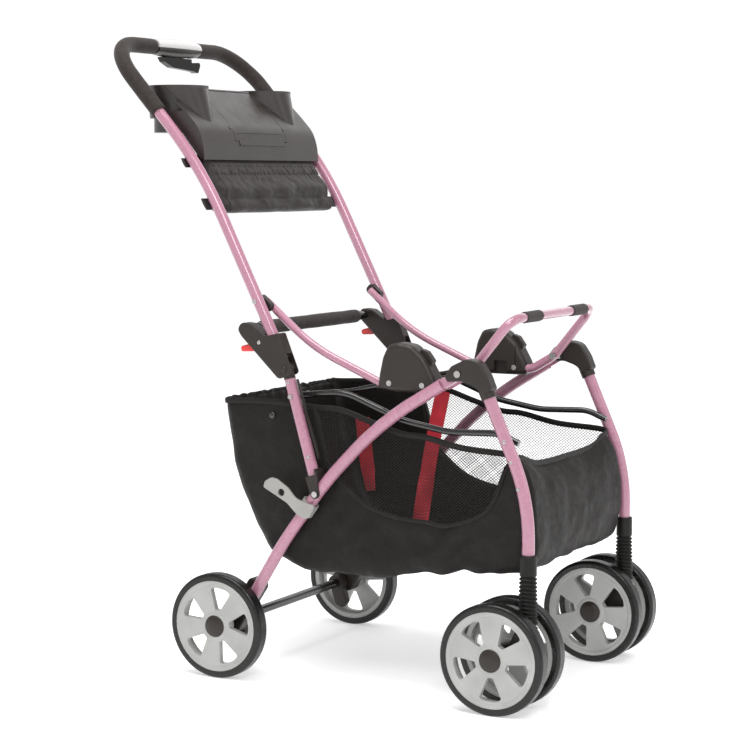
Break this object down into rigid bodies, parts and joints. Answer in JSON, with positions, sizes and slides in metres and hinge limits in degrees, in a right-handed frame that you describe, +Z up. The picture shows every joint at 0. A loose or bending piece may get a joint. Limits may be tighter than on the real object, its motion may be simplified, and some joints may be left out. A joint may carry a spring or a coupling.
{
  "type": "infant carrier frame stroller",
  "caption": "Folding tube-frame stroller with storage basket, parent tray, dual swivel front casters and a seat frame that an infant carrier latches on to.",
  "frame": {"origin": "on the ground, under the centre of the bounding box", "axes": "+Z up, the stroller drives towards -Y, so -X is its right-hand side"},
  "size_m": [0.497, 0.8481, 1.075],
  "materials": {
    "pink_paint": "glossy pale pink paint",
    "black_metal": "satin black paint",
    "screw_steel": "bright zinc plate",
    "grey_plastic": "matte warm grey",
    "silver_plastic": "silver paint, satin",
    "black_plastic": "fine moulded texture",
    "tray_plastic": "satin, fine moulded texture",
    "red_plastic": "satin red",
    "foam": "matte closed-cell foam",
    "black_rubber": "satin rubber",
    "black_cloth": "woven nylon",
    "wheel_grey": "satin silver grey",
    "tyre": "smooth black tread"
  },
  "bodies": {
    "rear_frame": {"rear_leg_right": "pink_paint", "rear_leg_left": "pink_paint", "rear_axle": "black_metal", "rear_foot_right": "black_plastic", "rear_foot_left": "black_plastic", "frame_pins": "screw_steel", "basket": "black_cloth"},
    "lower_handle_frame": {"lower_handle_right": "pink_paint", "lower_handle_left": "pink_paint", "lower_fork_right": "black_plastic", "lower_fork_left": "black_plastic", "lower_pins": "screw_steel"},
    "upper_handle_frame": {"upper_handle": "pink_paint", "handle_grips": "foam", "handle_housing": "silver_plastic", "knuckle_right": "black_plastic", "knuckle_left": "black_plastic", "middle_bar": "black_metal", "middle_foam": "foam", "parent_tray": "tray_plastic", "rear_pouch": "black_cloth"},
    "seat_frame": {"seat_rail_right": "pink_paint", "seat_rail_left": "pink_paint", "rail_ends": "black_plastic", "latch_hump_right": "black_plastic", "latch_hump_left": "black_plastic", "seat_bolts": "screw_steel", "front_loop": "pink_paint", "loop_sleeves": "foam"},
    "front_frame": {"front_leg_right": "pink_paint", "front_leg_left": "pink_paint", "elbow_right": "black_plastic", "elbow_left": "black_plastic", "boot_right": "black_rubber", "boot_left": "black_rubber"},
    "basket_rails": {"basket_rail_right": "black_metal", "basket_rail_left": "black_metal"},
    "clip": {"storage_clip": "grey_plastic"},
    "lid": {"tray_lid": "tray_plastic"},
    "trigger": {"release_trigger": "black_plastic"},
    "strut_right_body": {"strut_right": "screw_steel"},
    "caster_right_body": {"caster_right": "black_plastic"},
    "front_wheel_right_outer_body": {"front_wheel_right_outer": "wheel_grey", "front_tyre_right_outer": "tyre"},
    "front_wheel_right_inner_body": {"front_wheel_right_inner": "wheel_grey", "front_tyre_right_inner": "tyre"},
    "rear_wheel_right_body": {"rear_wheel_right": "wheel_grey", "rear_tyre_right": "tyre"},
    "brake_right_body": {"brake_lever_right": "black_plastic"},
    "latch_right_body": {"release_latch_right": "red_plastic"},
    "strut_left_body": {"strut_left": "screw_steel"},
    "caster_left_body": {"caster_left": "black_plastic"},
    "front_wheel_left_outer_body": {"front_wheel_left_outer": "wheel_grey", "front_tyre_left_outer": "tyre"},
    "front_wheel_left_inner_body": {"front_wheel_left_inner": "wheel_grey", "front_tyre_left_inner": "tyre"},
    "rear_wheel_left_body": {"rear_wheel_left": "wheel_grey", "rear_tyre_left": "tyre"},
    "brake_left_body": {"brake_lever_left": "black_plastic"},
    "latch_left_body": {"release_latch_left": "red_plastic"}
  },
  "joints": [
    {"name": "frame_fold", "type": "hinge", "parent": "rear_frame", "child": "lower_handle_frame", "pos_m": [0, -0.008, 0.319], "axis": [-1, 0, 0], "range_deg": [0, 60], "deforming": ["basket"]},
    {"name": "handle_fold", "type": "hinge", "parent": "lower_handle_frame", "child": "upper_handle_frame", "pos_m": [0, 0.05, 0.52], "axis": [1, 0, 0], "range_deg": [0, 129.2]},
    {"name": "seat_fold", "type": "hinge", "parent": "rear_frame", "child": "seat_frame", "pos_m": [0, -0.262, 0.526], "axis": [-1, 0, 0], "range_deg": [0, 25.5]},
    {"name": "front_fold", "type": "hinge", "parent": "rear_frame", "child": "front_frame", "pos_m": [0, -0.262, 0.526], "axis": [1, 0, 0], "range_deg": [0, 42.4]},
    {"name": "rail_fold", "type": "hinge", "parent": "lower_handle_frame", "child": "basket_rails", "pos_m": [0, 0.039, 0.4754], "axis": [1, 0, 0], "range_deg": [0, 47.1]},
    {"name": "suspension_right", "type": "slide", "parent": "front_frame", "child": "strut_right_body", "axis": [0, 0, 1], "range_m": [0, 0.012], "stiffness_N_per_m": 5000, "springref_m": -0.012, "deforming": ["boot_right"]},
    {"name": "caster_swivel_right", "type": "hinge", "parent": "strut_right_body", "child": "caster_right_body", "pos_m": [-0.202, -0.379, 0.11], "axis": [0, 0, 1], "continuous": true},
    {"name": "front_wheel_spin_right_outer", "type": "hinge", "parent": "caster_right_body", "child": "front_wheel_right_outer_body", "pos_m": [-0.2355, -0.336, 0.088], "axis": [1, 0, 0], "continuous": true},
    {"name": "front_wheel_spin_right_inner", "type": "hinge", "parent": "caster_right_body", "child": "front_wheel_right_inner_body", "pos_m": [-0.1685, -0.336, 0.088], "axis": [1, 0, 0], "continuous": true},
    {"name": "rear_wheel_spin_right", "type": "hinge", "parent": "rear_frame", "child": "rear_wheel_right_body", "pos_m": [-0.232, 0.17, 0.088], "axis": [1, 0, 0], "continuous": true},
    {"name": "brake_pedal_right", "type": "hinge", "parent": "rear_frame", "child": "brake_right_body", "pos_m": [-0.172, 0.17, 0.088], "axis": [1, 0, 0], "range_deg": [0, 25]},
    {"name": "latch_lift_right", "type": "hinge", "parent": "upper_handle_frame", "child": "latch_right_body", "pos_m": [-0.206, 0.1, 0.553], "axis": [1, 0, 0], "range_deg": [0, 12], "stiffness_Nm_per_rad": 0.5, "springref_deg": -11.46},
    {"name": "suspension_left", "type": "slide", "parent": "front_frame", "child": "strut_left_body", "axis": [0, 0, 1], "range_m": [0, 0.012], "stiffness_N_per_m": 5000, "springref_m": -0.012, "deforming": ["boot_left"]},
    {"name": "caster_swivel_left", "type": "hinge", "parent": "strut_left_body", "child": "caster_left_body", "pos_m": [0.202, -0.379, 0.11], "axis": [0, 0, 1], "continuous": true},
    {"name": "front_wheel_spin_left_outer", "type": "hinge", "parent": "caster_left_body", "child": "front_wheel_left_outer_body", "pos_m": [0.2355, -0.336, 0.088], "axis": [1, 0, 0], "continuous": true},
    {"name": "front_wheel_spin_left_inner", "type": "hinge", "parent": "caster_left_body", "child": "front_wheel_left_inner_body", "pos_m": [0.1685, -0.336, 0.088], "axis": [1, 0, 0], "continuous": true},
    {"name": "rear_wheel_spin_left", "type": "hinge", "parent": "rear_frame", "child": "rear_wheel_left_body", "pos_m": [0.232, 0.17, 0.088], "axis": [1, 0, 0], "continuous": true},
    {"name": "brake_pedal_left", "type": "hinge", "parent": "rear_frame", "child": "brake_left_body", "pos_m": [0.172, 0.17, 0.088], "axis": [1, 0, 0], "range_deg": [0, 25]},
    {"name": "latch_lift_left", "type": "hinge", "parent": "upper_handle_frame", "child": "latch_left_body", "pos_m": [0.206, 0.1, 0.553], "axis": [1, 0, 0], "range_deg": [0, 12], "stiffness_Nm_per_rad": 0.5, "springref_deg": -11.46},
    {"name": "clip_swing", "type": "hinge", "parent": "rear_frame", "child": "clip", "pos_m": [-0.206, 0.0243, 0.2793], "axis": [0, -0.6, 0.8], "range_deg": [0, 90]},
    {"name": "lid_open", "type": "hinge", "parent": "upper_handle_frame", "child": "lid", "pos_m": [0, 0.2247, 0.8935], "axis": [1, 0, 0], "range_deg": [0, 95]},
    {"name": "trigger_squeeze", "type": "slide", "parent": "upper_handle_frame", "child": "trigger", "axis": [0, 0, 1], "range_m": [0, 0.005], "stiffness_N_per_m": 400, "springref_m": -0.005}
  ],
  "couplings": [
    {"joint": "handle_fold", "follows": "frame_fold", "ratio": 2.1517},
    {"joint": "seat_fold", "follows": "frame_fold", "ratio": 0.42333},
    {"joint": "front_fold", "follows": "frame_fold", "ratio": 0.705},
    {"joint": "rail_fold", "follows": "frame_fold", "ratio": 0.78333}
  ]
}
